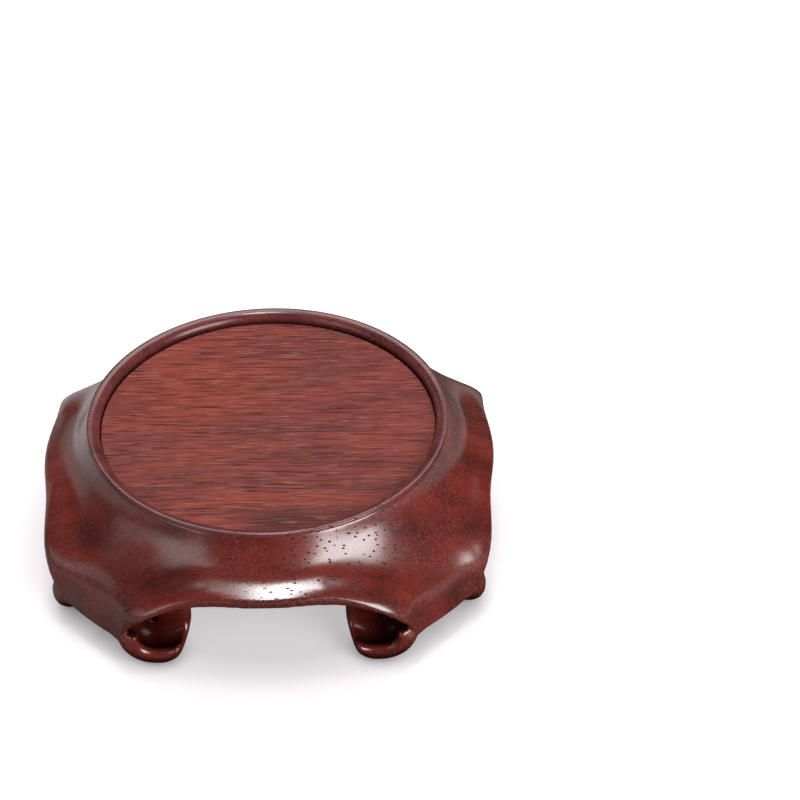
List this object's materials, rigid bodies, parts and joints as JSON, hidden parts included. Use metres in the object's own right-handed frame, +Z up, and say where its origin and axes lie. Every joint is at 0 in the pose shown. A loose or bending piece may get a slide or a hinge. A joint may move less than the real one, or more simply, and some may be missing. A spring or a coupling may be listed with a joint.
{
  "type": "hardwood display stand",
  "caption": "Low round hardwood stand with a rimmed recess on top, a coved body with arched openings and legs that end in curled toes, for showing a vase or bowl.",
  "frame": {"origin": "on the floor, on the stand's upright axis", "axes": "+Z up, the crowns of the arches on +X, +Y, -X and -Y, the front arch on -Y"},
  "size_m": [0.1348, 0.1348, 0.0422],
  "materials": {
    "body_wood": "waxed semi-gloss",
    "panel_wood": "waxed satin",
    "tenon_wood": "raw",
    "bamboo": "raw"
  },
  "bodies": {
    "root": {"top_panel": "panel_wood", "panel_batten": "tenon_wood", "rim_segment_front": "body_wood", "rim_segment_right": "body_wood", "rim_segment_back": "body_wood", "rim_segment_left": "body_wood", "rim_tenon_front_left": "tenon_wood", "rim_tenon_front_right": "tenon_wood", "rim_tenon_back_right": "tenon_wood", "rim_tenon_back_left": "tenon_wood", "leg_segment_front_left": "body_wood", "leg_segment_front_right": "body_wood", "leg_segment_back_right": "body_wood", "leg_segment_back_left": "body_wood", "apron_tenon_front": "tenon_wood", "apron_tenon_right": "tenon_wood", "apron_tenon_back": "tenon_wood", "apron_tenon_left": "tenon_wood", "frame_dowels": "bamboo"}
  },
  "joints": []
}
